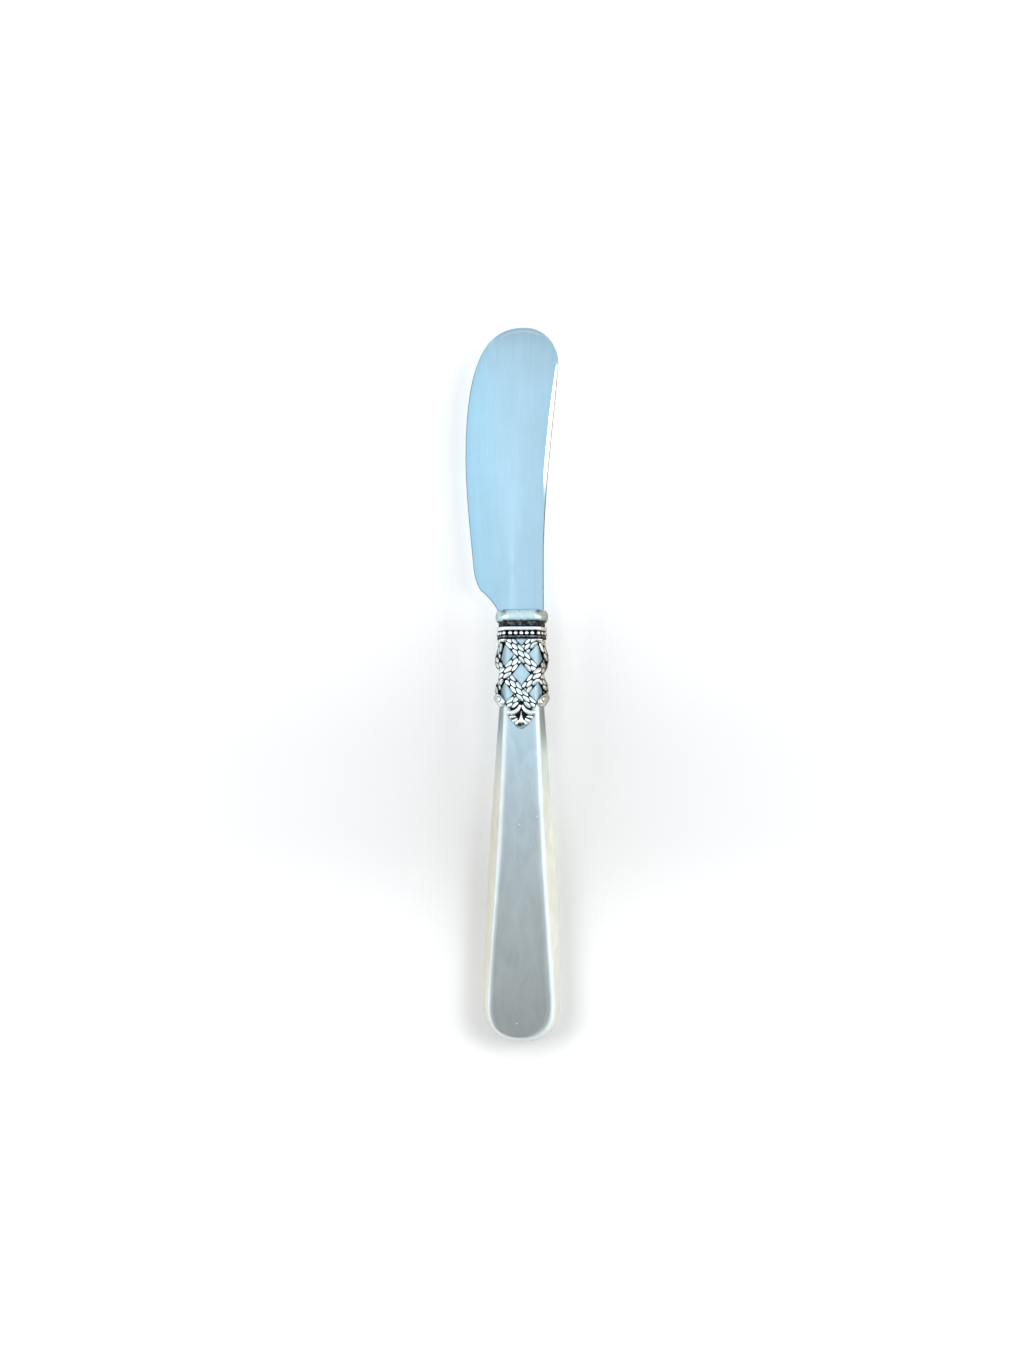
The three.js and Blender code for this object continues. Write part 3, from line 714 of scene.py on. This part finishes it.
def makePalmette(turn):
    p = palmette
    centre, root = turn * neckRound / 2, handle["neckStart"]
    shares = [i / p["steps"] for i in range(p["steps"] + 1)]
    for petal in p["petals"]:
        # rounded off towards both ends, over half as long a stretch at the root
        ends = [math.sqrt(max(1 - max(1 - min(t * 2, 1 - t) / petal["tip"], 0) ** 2, p["endWidth"])) for t in shares]
        widths = [bezier(petal["wide"], t) * e for t, e in zip(shares, ends)]
        tops = [bezier(petal["high"], t) * mix(p["endHeight"], 1, e) for t, e in zip(shares, ends)]
        line = [tuple(bezier([q[c] for q in petal["line"]], t) for c in (0, 1)) for t in shares]
        for side in (1, -1) if petal["line"][1][0] else (1,):
            addRidge([(centre + side * a, root - drop) for a, drop in line], widths, tops, p["ridgeSteps"], 1.0)
    rim = [tuple(bezier([q[c] for q in p["rim"]], t) for c in (0, 1)) for t in shares]
    rim += [(-a, drop) for a, drop in reversed(rim[:-1])]
    line = [(centre + a, root - drop) for a, drop in rim]
    addRidge(line, [p["rimHalf"]] * len(rim), [p["rimHigh"]] * len(rim), p["rimSteps"], p["rimShine"])
    # ground plate under the petals, left dark but for its foot
    edge = rim + [(-p["plateHalf"], p["plateShoulder"]), (0.0, p["plateTop"]), (p["plateHalf"], p["plateShoulder"])]
    low = [(wrap(centre + a, root - drop, -reliefSink), 0.0) for a, drop in edge]
    high = []
    for a, drop in edge:
        high.append((wrap(centre + a, root - drop, p["plate"]), mix(*p["plateShine"], smooth(*p["plateFoot"], drop))))
    addShell(ferrule, [low, high])


# rolled leaves at the four corners, over the ends of the side ropes, and a small leaf under the collar between ropes;
# a rolled leaf is drawn as seen from the front: its middle, half of its length and half of its breadth
leaves = {
    "bud": (4.9, handle["neckStart"] + 1.45), "budLong": (0.36, 1.6), "budBroad": (1.3, 0.44), "budPoint": 1.6,
    "budHigh": (0.8, 1.25), "budRise": (-1, 0.6), "budFoot": 0.1, "budShine": (0.1, 0.45), "budSteps": (22, 56),
    "eye": (0.28, 0.08), "eyeRound": 0.6, "eyeLine": 0.11, "eyeDeep": 0.16, "eyeShade": 0.55,
    "eyeStart": (-105, -70), "eyeEnd": (115, 150),
    "top": handleLength - 2.6, "topHalf": 0.86, "topDrop": 0.95, "topHigh": 1.2, "topShine": (0.1, 0.5),
    "topDark": (0.12, 0.3), "topSteps": (10, 32), "domePower": 4,
}


# a leaf in rings from its edge in to its top; pointAt gives the point and its brightness
def addLeaf(counts, pointAt):
    steps, around = counts
    rings = []
    for reach in [i / steps for i in range(steps, 0, -1)]:
        rise = (1 - reach ** leaves["domePower"]) ** 0.5
        rings.append([pointAt(reach, rise, 2 * math.pi * k / around) for k in range(around)])
    addShell(ferrule, rings)


# height above the middle plane of a surface that stands n off the neck, where it is seen at x from the front
def heightAt(x, n):
    low, high = 0.0, neckRound / 4
    for _ in range(30):  # halvings, down to rounding
        middle = (low + high) / 2
        low, high = (middle, high) if wrap(middle, 0, n)[0] < x else (low, middle)
    return wrap(low, 0, n)[2]


def makeBud(right, front):
    v = leaves

    def budPoint(reach, rise, angle):
        power = v["budPoint"]
        out = reach / (abs(math.cos(angle)) ** power + abs(math.sin(angle)) ** power) ** (1 / power)
        long, broad = out * math.sin(angle), out * math.cos(angle)
        dx, dy = (v["budLong"][c] * long + v["budBroad"][c] * broad for c in (0, 1))
        # the edge rolls over an eye, open towards the side and below
        ex, ey = v["eye"][0] - dx, dy - v["eye"][1]
        turn = math.degrees(math.atan2(ey, ex))
        covered = smooth(*v["eyeStart"], turn) * (1 - smooth(*v["eyeEnd"], turn))
        roll = math.exp(-((math.hypot(ex, ey) - v["eyeRound"]) / v["eyeLine"]) ** 2) * covered
        high = mix(*v["budHigh"], smooth(*v["budRise"], dx))  # it stands over the rope on its outer side
        x = v["bud"][0] + dx
        foot = max(heightAt(x, -reliefSink), v["budFoot"])
        z = mix(foot, heightAt(x, high - v["eyeDeep"] * roll), rise)
        return (right * x, v["bud"][1] + dy, front * z), smooth(*v["budShine"], rise) * (1 - v["eyeShade"] * roll)

    addLeaf(v["budSteps"], budPoint)


def makeTopLeaf(column):
    v = leaves
    middle = column * neckRound / ropes["columns"]

    def topPoint(reach, rise, angle):
        drop = max(-v["topDrop"] * reach * math.sin(angle), 0)  # cut off flat under the collar
        place = middle + v["topHalf"] * reach * math.cos(angle)
        point = wrap(place, v["top"] - drop, v["topHigh"] * rise - reliefSink)
        return point, smooth(*v["topShine"], rise) * smooth(*v["topDark"], drop)

    addLeaf(v["topSteps"], topPoint)


makeCollar()
makeBeads()
for column in range(0, ropes["columns"], 2):
    makeRope(column, 1)
    makeRope(column, -1)
for turn in (0, 1):
    makePalmette(turn)
for right in (1, -1):
    makeBud(right, 1)
    makeBud(right, -1)
for column in range(1, ropes["columns"], 2):
    makeTopLeaf(column)
makePiece("ropeFerrule", ferrule, ferruleFinish, "ferrule", ferruleSharpAngle)


# Bolster cap

cap = {
    "foot": handleLength + 0.2, "height": 3.75, "waist": 0.95, "waistProud": 0.15, "waistEase": 0.05, "footEase": 0.1,
    "waistShine": (0.26, 0.3), "rollProud": 0.85, "topProud": 0.12, "fullness": 0.45,
    "bright": 0.86, "rollShine": (0.4, 1.0), "rollShineRun": (0.02, 0.26),
    "cornerAt": 3.9, "cornerHalf": 0.9, "cornerCut": 0.4, "cornerRun": (0.5, 0.95), "cornerShade": 0.45,
    "slotWidth": 5.4, "slotDepth": 1.8, "slotShine": 0.6, "around": 144, "steps": 18, "sharpAngle": 50,
}


def makeCap():
    c = cap
    waist, ease = c["waistProud"], c["waistEase"]
    profile = [
        (waist - ease, 0.0, 0.0), (waist, c["footEase"], c["waistShine"][0]),
        (waist, c["waist"] - ease, c["waistShine"][1]),
    ]
    for t in [i / c["steps"] for i in range(c["steps"] + 1)]:
        base = mix(waist, c["topProud"], t)
        swell = math.sin(math.pi * t) ** c["fullness"] if 0 < t < 1 else 0
        # painted shade: the roll is darker low down by the waist
        value = c["bright"] * mix(*c["rollShine"], smooth(*c["rollShineRun"], t))
        profile.append((mix(base, c["rollProud"], swell), mix(c["waist"], c["height"], t), value))
    rings = []
    for n, y, value in profile:
        ring = []
        for a in [neckRound * (i / c["around"]) for i in range(c["around"])]:
            # the four corners are filed off towards the top and painted darker there as shade
            fromMiddle = min(a % (neckRound / 2), neckRound / 2 - a % (neckRound / 2))
            filed = math.exp(-((fromMiddle - c["cornerAt"]) / c["cornerHalf"]) ** 2)
            filed *= smooth(*c["cornerRun"], y / c["height"])
            point = wrap(a, c["foot"] + y, n - c["cornerCut"] * filed)
            ring.append((point, value * (1 - c["cornerShade"] * filed)))
        rings.append(ring)
    for ring in (rings[-1], rings[0]):
        points = [point for point, _ in ring]
        slot = slotLoop(points, c["slotWidth"], c["slotDepth"], points[0][1])
        rings.append([(point, c["slotShine"]) for point in slot])
    shells = newShells()
    addShell(shells, rings, looped=True)
    makePiece("bolsterCap", shells, capFinish, "bolster_cap", c["sharpAngle"])


makeCap()


# Blade, drawn from its shoulder up

blade = {
    "shoulder": handleLength + 4.15, "seat": -0.19, "length": 63.7, "stock": 1.6, "edge": 0.5,
    "grindStart": 2.0, "grindEase": 0.6,
    "spine": 4.9, "spineStraight": 11.2, "tipSweep": 3.3, "tipCorner": 8.8, "belly": 12.62, "bellyHeight": 34.2,
    "heel": 10.78, "heelHeight": 9.0, "notch": 9.1, "notchHeight": 4.25, "scoop": 5.4, "curveSteps": 12,
    "bevel": 0.65, "bevelTurn": (0.9, 0.985), "bevelStart": (20, 32), "bevelEnd": (54, 57),
    "bevelTaper": 0.35, "taperRun": (44, 56), "tipBevel": 0.85, "tipTurn": (0.55, 0.95),
    "leastBevel": 0.1, "bevelSlope": 0.3, "edgeRoll": (0.14, 0.24), "rollDrop": 0.2, "rollShare": 0.6,
    "sheenStart": 0.05, "sheenEnd": 0.03, "tipSheen": 0.45, "edgeShade": -1.0,
    "tangLength": 46.0, "tangWidth": 5.0, "tangTip": 3.0, "tangThick": 1.4, "tangRoot": 0.8, "tangSteps": 10,
    "faceGrid": 1.3, "gridMargin": 0.6, "sharpAngle": 9,
}


# once round: up the spine, over the tip, down the edge, and in by the notch to the shoulder; the two handles of a curve
# are shares of its height or width, and its last number counts its steps
def bladeOutline():
    b = blade
    spine, straight, length, belly, heel = (b[key] for key in ("spine", "spineStraight", "length", "belly", "heel"))
    tip, corner = spine + b["tipSweep"], length - b["tipCorner"]
    bellyHeight, heelHeight, notchHeight = b["bellyHeight"], b["heelHeight"], b["notchHeight"]
    rise, crown, drop, swell = corner - straight, length - bellyHeight, bellyHeight - heelHeight, belly - heel
    foot, straightEnd, tipTurn, top = (spine, b["seat"]), (spine, straight), (tip, corner), (tip * 0.07, length)
    widest, heelEnd = (-belly, bellyHeight), (-heel, heelHeight)
    notch, scoop = (-b["notch"], notchHeight), (-b["scoop"], b["seat"])
    stretches = [
        (foot, (spine, straight * 0.3), (spine, straight * 0.7), straightEnd, 10),
        (straightEnd, (spine, straight + rise * 0.34), (tip - b["tipSweep"] * 0.18, corner - rise * 0.2), tipTurn, 32),
        (tipTurn, (tip + b["tipSweep"] * 0.08, corner + b["tipCorner"] * 0.42), (tip * 0.73, length), top, 30),
        (top, (-belly * 0.55, length), (-belly, bellyHeight + crown * 0.82), widest, 44),
        (widest, (-belly, bellyHeight - drop * 0.32), (-heel - swell * 0.36, heelHeight + drop * 0.29), heelEnd, 26),
    ]
    points = []
    for *corners, count in stretches:
        points += [(v.x, v.y) for v in interpolate_bezier(*[Vector((*p, 0)) for p in corners], count + 1)][:-1]
    heelRound = (mix(-heel, -b["notch"], 0.3), mix(notchHeight, heelHeight, 0.3))
    hollow = (mix(-b["scoop"], -b["notch"], 0.4), notchHeight * 0.6)
    steps = b["curveSteps"]
    points += curvePoints(heelEnd, heelRound, notch, steps)[:-1] + curvePoints(notch, hollow, scoop, steps)[:-1]
    return points + [(mix(-b["scoop"], spine, i / steps), b["seat"]) for i in range(steps)]


# half thickness: full stock at the spine, eased into the grind towards the edge
def halfThickness(x):
    b = blade
    t = min(max((-b["grindStart"] - x) / (b["belly"] - b["grindStart"]), 0), 1)
    return mix(b["stock"] / 2, b["edge"] / 2, t * t * (1 + b["grindEase"] - b["grindEase"] * t))


# width, depth and painted sheen of the bevel, a painted reflection: full along the upper spine, duller across the tip,
# and all but gone elsewhere
def bevelAt(outward, y):
    b = blade
    onSpine = smooth(*b["bevelTurn"], outward.x) * smooth(*b["bevelStart"], y) * (1 - smooth(*b["bevelEnd"], y))
    onTip = smooth(*b["tipTurn"], outward.y)
    taper = mix(1, b["bevelTaper"], smooth(*b["taperRun"], y))
    width = b["leastBevel"] + b["bevel"] * onSpine * taper + b["tipBevel"] * onTip
    return width, width * b["bevelSlope"] * max(onSpine, onTip), max(onSpine, b["tipSheen"] * onTip)


# points inside a loop, on a staggered grid
def gridInside(loop, step):
    grid = []
    margin = step * blade["gridMargin"]
    low, high = min(p[1] for p in loop), max(p[1] for p in loop)
    for row in range(int((high - low) / step)):
        y = low + step * (row + 0.5)
        crossings = []
        for p, q in zip(loop, loop[1:] + loop[:1]):
            if (p[1] > y) != (q[1] > y):
                crossings.append(mix(p[0], q[0], (y - p[1]) / (q[1] - p[1])))
        if len(crossings) == 2:
            left, right = min(crossings) + margin, max(crossings) - margin
            count = int((right - left) / step)
            grid += [(mix(left, right, (k + 0.5 * (row % 2)) / max(count, 1)), y) for k in range(count)]
    return grid


def makeBlade():
    b = blade
    outline = bladeOutline()
    # from the face out to the edge: where the bevel starts, where its painted sheen starts and ends, and where it rolls
    # over
    loops, bevelSheens = [[], [], [], [], []], []
    for i, (x, y) in enumerate(outline):
        along = directionAt(outline, i, looped=True)
        outward = Vector((along.y, -along.x))
        if y <= b["seat"] + 1e-6:  # the shoulder is square, so only the two ends are drawn in
            outward = Vector((2 * (x + b["scoop"]) / (b["spine"] + b["scoop"]) - 1, 0))
        width, depth, polishAndPaintedLight = bevelAt(outward, y)
        bevelSheens.append(polishAndPaintedLight)
        rollWidth = mix(*b["edgeRoll"], polishAndPaintedLight)
        outer = width + rollWidth
        starts = (outer, outer - b["sheenStart"], rollWidth + b["sheenEnd"], rollWidth, 0.0)
        face = halfThickness(x - outward.x * starts[0])
        roll = min(b["rollDrop"], b["rollShare"] * face)
        drops = [depth * (outer - start) / width for start in starts[:-1]] + [depth + roll]
        for loop, start, drop in zip(loops, starts, drops):
            loop.append((x - outward.x * start, y - outward.y * start, face - drop))
    inner = [(x, y) for x, y, _ in loops[0]]
    flat = [Vector(p) for p in inner + gridInside(inner, b["faceGrid"])]
    edges = [(i, (i + 1) % len(inner)) for i in range(len(inner))]
    flatPoints, _, flatFaces = delaunay_2d_cdt(flat, edges, [tuple(range(len(inner)))], 1, 1e-5)[:3]
    shells = newShells()
    rolled = [mix(b["edgeShade"], 1.0, polishAndPaintedLight) for polishAndPaintedLight in bevelSheens]
    sheared = [b["edgeShade"]] * len(inner)
    rims = []
    for up in (1, -1):
        face = [(p.x, p.y + b["shoulder"], up * halfThickness(p.x)) for p in flatPoints]
        numbers = addPoints(shells, face, [0.0] * len(face))
        shells["faces"] += [tuple(numbers[k] for k in corners) for corners in flatFaces]
        rim = numbers[:len(inner)]
        for loop, shine in zip(loops[1:], (bevelSheens, rolled, sheared, sheared)):
            outer = addPoints(shells, [(x, y + b["shoulder"], up * z) for x, y, z in loop], shine)
            addBand(shells, rim, outer)
            rim = outer
        rims.append(rim)
    addBand(shells, *rims)
    # tang, tapered with a round end
    half, tipHalf, thick = b["tangWidth"] / 2, b["tangTip"] / 2, b["tangThick"] / 2
    root, foot = b["shoulder"] + b["tangRoot"], b["shoulder"] - b["tangLength"] + tipHalf
    loop = [(half, root), (-half, root)]
    for angle in [math.pi * (1 + i / b["tangSteps"]) for i in range(b["tangSteps"] + 1)]:
        loop.append((tipHalf * math.cos(angle), foot + tipHalf * math.sin(angle)))
    addShell(shells, [[((x, y, z), 0.0) for x, y in loop] for z in (-thick, thick)])
    makePiece("spreaderBlade", shells, steelFinish, "blade", b["sharpAngle"])


makeBlade()

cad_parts["tang_cement"].material_slots[0].material = cementFinish
print("cement keeps its solid")


# Floor, light and camera, in metres

studio = {
    "floorSize": 6.0, "floorDrop": 0.0002, "floorColour": "#f2f2f2", "fill": 0.42, "sky": 1.0, "tilt": 0.3,
    # glow of the floor at two places along the knife in mm: everywhere, close to the knife, and away from it; it paints
    # a pool of light past the tip and shadow close to the handle
    "floorLift": ((60, 0.135), (125, 0.34)),
    "nearShade": ((30, -0.07), (80, 0.11)), "awayShade": ((10, 0.16), (50, -0.03)),
    "buttMiddle": 8.5, "nearEnd": 0.0085, "awayStart": 0.017, "farRun": (0.018, 0.3), "farGlow": 0.5,
    "softboxes": [
        {"name": "leftSoftbox", "at": (-0.66, 0.06, 0.48), "size": (0.6, 1.1), "power": 4.0},
        {"name": "rightSoftbox", "at": (0.75, 0.08, 0.38), "size": (0.5, 1.1), "power": 5.0},
        {"name": "spineCard", "at": (0.37, 0.14, 0.6), "size": (0.14, 0.2), "power": 0.14},
    ],
    "aim": (0, 0.06, 0),
}


# 1 for the rays that the eye, a mirror or glass sends out
def seenRays(add):
    rays = add("LightPath").outputs
    seen = add("Math", (rays["Is Camera Ray"], rays["Is Glossy Ray"]), operation="MAXIMUM")
    return add("Math", (seen, rays["Is Transmission Ray"]), operation="MAXIMUM")


def makeFloor():
    s = studio
    material, add = newMaterial("whitePaper")
    place = add("TexCoord").outputs["Object"]
    fibres = add("TexNoise", {"Vector": place, "Scale": 1 / 0.003})  # paper fibres, 3 mm
    tone = add("MapRange", (fibres, 0.0, 1.0, 0.985, 1.0))
    colour = add("Mix", (1.0, hexColour(s["floorColour"]), tone), **multiply)
    paper = add("BsdfDiffuse", {"Color": colour})
    # painted light and shadow: the paper glows whiter past the tip and far off, a painted pool of light, and greyer
    # close to the handle, a painted shadow
    axes = add("SeparateXYZ", {"Vector": place}).outputs
    levels = []
    for low, high in (s["floorLift"], s["nearShade"], s["awayShade"]):
        levels.append(add("MapRange", (axes["Y"], alongAt(low[0]), alongAt(high[0]), low[1], high[1]), **eased))
    # distance from the middle line, and past it from the middle of the butt
    past = add("Math", (alongAt(s["buttMiddle"]), axes["Y"]), operation="SUBTRACT")
    below = add("Math", (past, 0.0), operation="MAXIMUM")
    aside = add("CombineXYZ", {"X": axes["X"], "Y": below})
    apart = add("VectorMath", [aside], operation="LENGTH")
    shade = add("MapRange", (apart, s["nearEnd"], s["awayStart"], levels[1], levels[2]), **eased)
    far = add("MapRange", (apart, *s["farRun"], 0.0, s["farGlow"]))
    nearby = add("Math", (levels[0], shade), operation="ADD")
    strength = add("Math", (nearby, far), operation="ADD")
    glow = add("Emission", {"Color": (1, 1, 1, 1), "Strength": strength})
    both = add("AddShader", (paper, glow))
    pick = add("MixShader", (seenRays(add), paper, both))
    add("OutputMaterial", {"Surface": pick})
    half, under = s["floorSize"] / 2, -s["floorDrop"]
    mesh = bpy.data.meshes.new("floor")
    corners = [(-half, -half, under), (half, -half, under), (half, half, under), (-half, half, under)]
    mesh.from_pydata(corners, [], [(0, 1, 2, 3)])
    mesh.materials.append(material)
    floor = bpy.data.objects.new("floor", mesh)
    bpy.context.scene.collection.objects.link(floor)


def makeLight():
    world = bpy.data.worlds.new("studio")
    bpy.context.scene.world = world
    world.use_nodes = True
    world.node_tree.nodes.clear()
    add = partial(addNode, world.node_tree)
    # what shines back from the room: warm and dim near the floor, white overhead and towards the window past the tip
    axes = add("SeparateXYZ", {"Vector": add("TexCoord").outputs["Generated"]}).outputs
    height = add("Math", (axes["Y"], studio["tilt"], axes["Z"]), operation="MULTIPLY_ADD")
    room = add("ValToRGB", {"Fac": height}, [(0.0, "#877d70"), (0.3, "#b6b3ab"), (0.6, "#dfe6e8"), (0.85, "#f7fcff")])
    rays = add("LightPath").outputs
    shown = add("Mix", (rays["Is Camera Ray"], room, (1, 1, 1, 1)), **blend)
    sky = add("Background", {"Color": shown, "Strength": studio["sky"]})
    fill = add("Background", {"Color": hexColour("#f4f8fb"), "Strength": studio["fill"]})
    pick = add("MixShader", (seenRays(add), fill, sky))
    add("OutputWorld", {"Surface": pick})
    for box in studio["softboxes"]:
        lamp = bpy.data.lights.new(box["name"], "AREA")
        lamp.shape = "RECTANGLE"
        lamp.size, lamp.size_y = box["size"]
        lamp.energy = box["power"]
        lampObject = bpy.data.objects.new(box["name"], lamp)
        lampObject.location = box["at"]
        lampObject.rotation_euler = (Vector(box["at"]) - Vector(studio["aim"])).to_track_quat("Z", "Y").to_euler()
        bpy.context.scene.collection.objects.link(lampObject)


# the middle of the picture in mm from the axis and the butt, how much of the table it takes in, and the camera's lean
picture = {
    "middleX": -2.2, "middleY": 80.2, "tall": 305.1, "distance": 1.5, "tiltBack": 5.0, "tiltRight": 2.0,
    "sensor": 36, "clip": (0.01, 20),
}


def makeCamera():
    c = picture
    camera = bpy.data.cameras.new("camera")
    camera.sensor_width = c["sensor"]
    camera.lens = c["sensor"] * c["distance"] / (c["tall"] / 1000)
    camera.clip_start, camera.clip_end = c["clip"]
    cameraObject = bpy.data.objects.new("camera", camera)
    aim = Vector(inFrame((c["middleX"], c["middleY"], 0)))
    back, right = math.radians(c["tiltBack"]), math.radians(c["tiltRight"])
    away = Vector((math.tan(right), -math.tan(back), 1)).normalized()
    cameraObject.location = aim + away * c["distance"]
    side = Vector((0, 1, 0)).cross(away).normalized()
    up = away.cross(side)
    cameraObject.rotation_euler = Matrix([[side[i], up[i], away[i]] for i in range(3)]).to_euler()
    bpy.context.scene.collection.objects.link(cameraObject)
    bpy.context.scene.camera = cameraObject


makeFloor()
makeLight()
makeCamera()
bpy.context.scene.view_settings.view_transform = "Standard"
print("studio ready")
